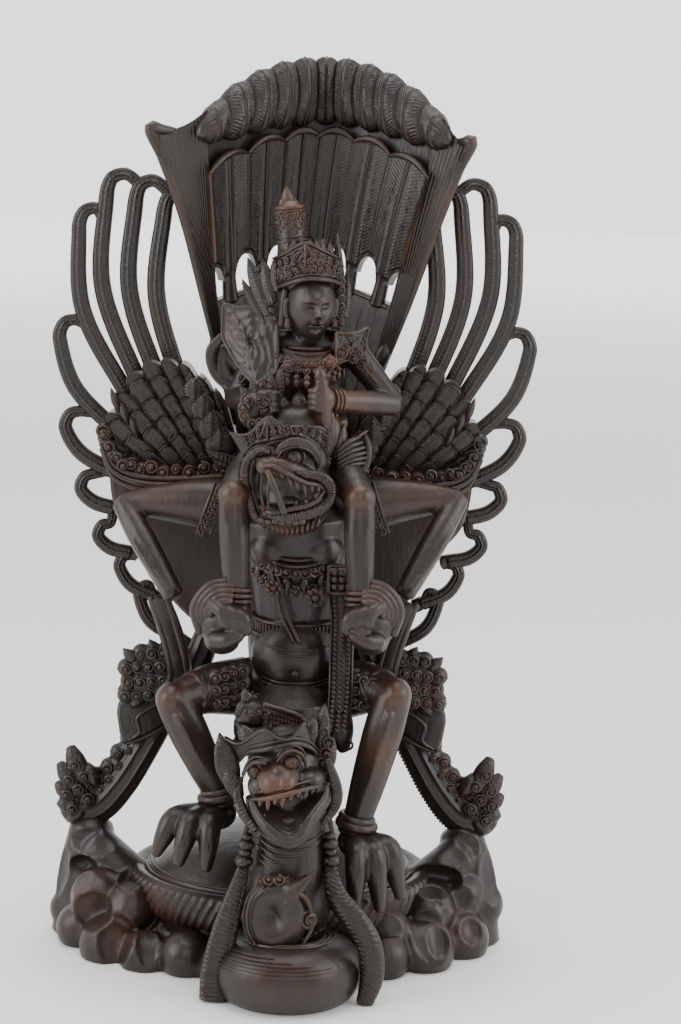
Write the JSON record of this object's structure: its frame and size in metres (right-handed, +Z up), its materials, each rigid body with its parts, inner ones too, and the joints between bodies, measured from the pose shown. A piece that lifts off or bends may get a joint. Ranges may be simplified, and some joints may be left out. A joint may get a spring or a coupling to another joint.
{
  "type": "vishnu on garuda statue",
  "caption": "Dark carved wood statue of Vishnu riding the winged Garuda, who stands on a turtle and a naga, with a fanned feather tail behind.",
  "frame": {"origin": "bottom centre of the whole carving's bounding box, on the table", "axes": "+Z up, -Y the way the figures face, +X to the viewer's right as seen from the front"},
  "size_m": [0.254, 0.183, 0.4591],
  "materials": {
    "stained_hardwood": "satin dark stain, worn to reddish brown on the edges"
  },
  "bodies": {
    "root": {"carved_statue": "stained_hardwood"}
  },
  "joints": []
}
